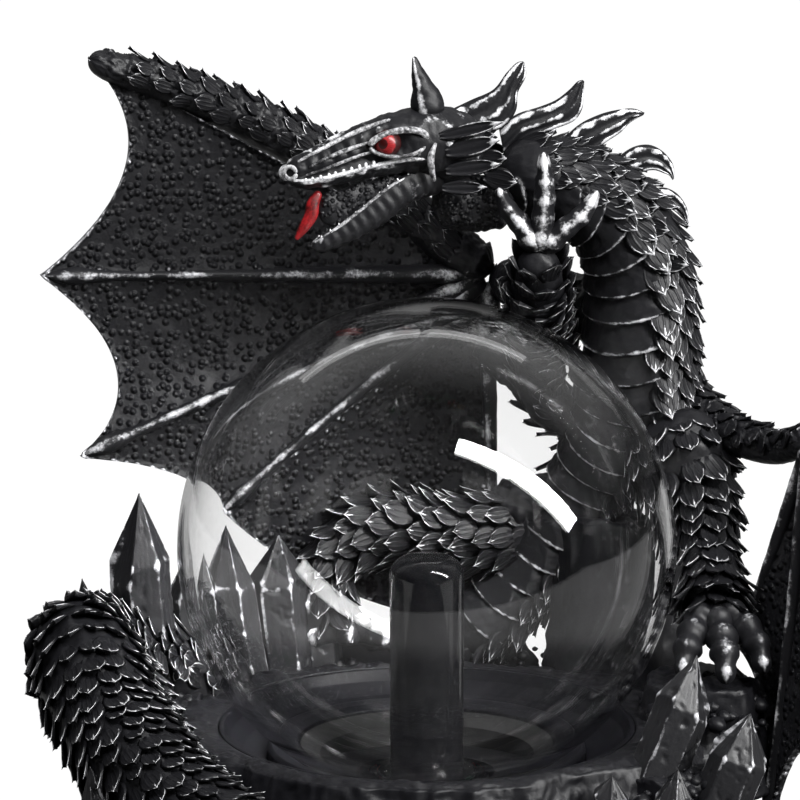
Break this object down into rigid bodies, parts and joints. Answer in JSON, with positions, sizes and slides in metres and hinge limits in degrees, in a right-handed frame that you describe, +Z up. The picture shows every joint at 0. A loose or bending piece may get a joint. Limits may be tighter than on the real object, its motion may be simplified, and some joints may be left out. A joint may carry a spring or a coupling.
{
  "type": "dragon storm-ball lamp",
  "caption": "Hollow glass plasma globe on a rock base, held by a winged dragon casting with crystals and a wrapped tail.",
  "frame": {"origin": "on the table under the axis of the globe, which is the centre of the bounding box's lower face", "axes": "+Z up, the front with the tail and the open view of the globe faces -Y, +X to the viewer's right"},
  "size_m": [0.2418, 0.1826, 0.2574],
  "materials": {
    "cast_resin": "satin black, dry-brushed with silver",
    "dark_crystal": "satin gunmetal",
    "red_paint": "gloss",
    "black_plastic": "satin",
    "clear_glass": "polished",
    "dark_glass": "polished",
    "electrode_black": "matte",
    "soft_rubber": "matte",
    "steel": "brushed",
    "brass": "polished",
    "aluminium": "satin",
    "wire_red": "satin",
    "board_green": "satin",
    "ferrite": "matte",
    "coil_tape": "gloss",
    "capacitor_sleeve": "gloss",
    "chip_black": "matte"
  },
  "bodies": {
    "figurine": {"base_casting": "cast_resin", "torso": "cast_resin", "head": "cast_resin", "lower_jaw": "cast_resin", "tongue": "red_paint", "eyes": "red_paint", "forehead_horn": "cast_resin", "mane_spikes": "cast_resin", "raised_arm": "cast_resin", "near_leg": "cast_resin", "far_leg": "cast_resin", "left_wing": "cast_resin", "right_wing": "cast_resin", "wing_dowels": "steel", "tail": "cast_resin", "crystals_left": "dark_crystal", "crystals_front": "dark_crystal", "crystals_right": "dark_crystal", "seat_dish": "black_plastic", "collar_ring": "black_plastic", "seal_ring": "soft_rubber", "lamp_cup": "black_plastic", "cup_screws": "steel", "glass_globe": "clear_glass", "electrode_tube": "dark_glass", "electrode_core": "electrode_black", "electrode_bung": "soft_rubber", "contact_pin": "brass", "contact_spring": "steel", "high_voltage_lead": "wire_red", "circuit_board": "board_green", "board_standoffs": "brass", "board_screws": "steel", "transformer_core": "ferrite", "transformer_coil": "coil_tape", "capacitors": "capacitor_sleeve", "power_transistor": "chip_black", "heat_sink": "aluminium", "control_chips": "chip_black", "microphone": "steel", "inner_wires": "wire_red", "rear_panel": "black_plastic", "panel_screws": "steel", "power_socket": "black_plastic", "socket_nut": "steel", "switch_body": "steel", "switch_screws": "steel", "bottom_cover": "black_plastic", "cover_screws": "steel", "threaded_inserts": "brass", "rubber_feet": "soft_rubber"},
    "switch": {"switch_slider": "black_plastic"}
  },
  "joints": [
    {"name": "power_switch", "type": "slide", "parent": "figurine", "child": "switch", "axis": [1, 0, 0], "range_m": [-0.002, 0.002]}
  ]
}
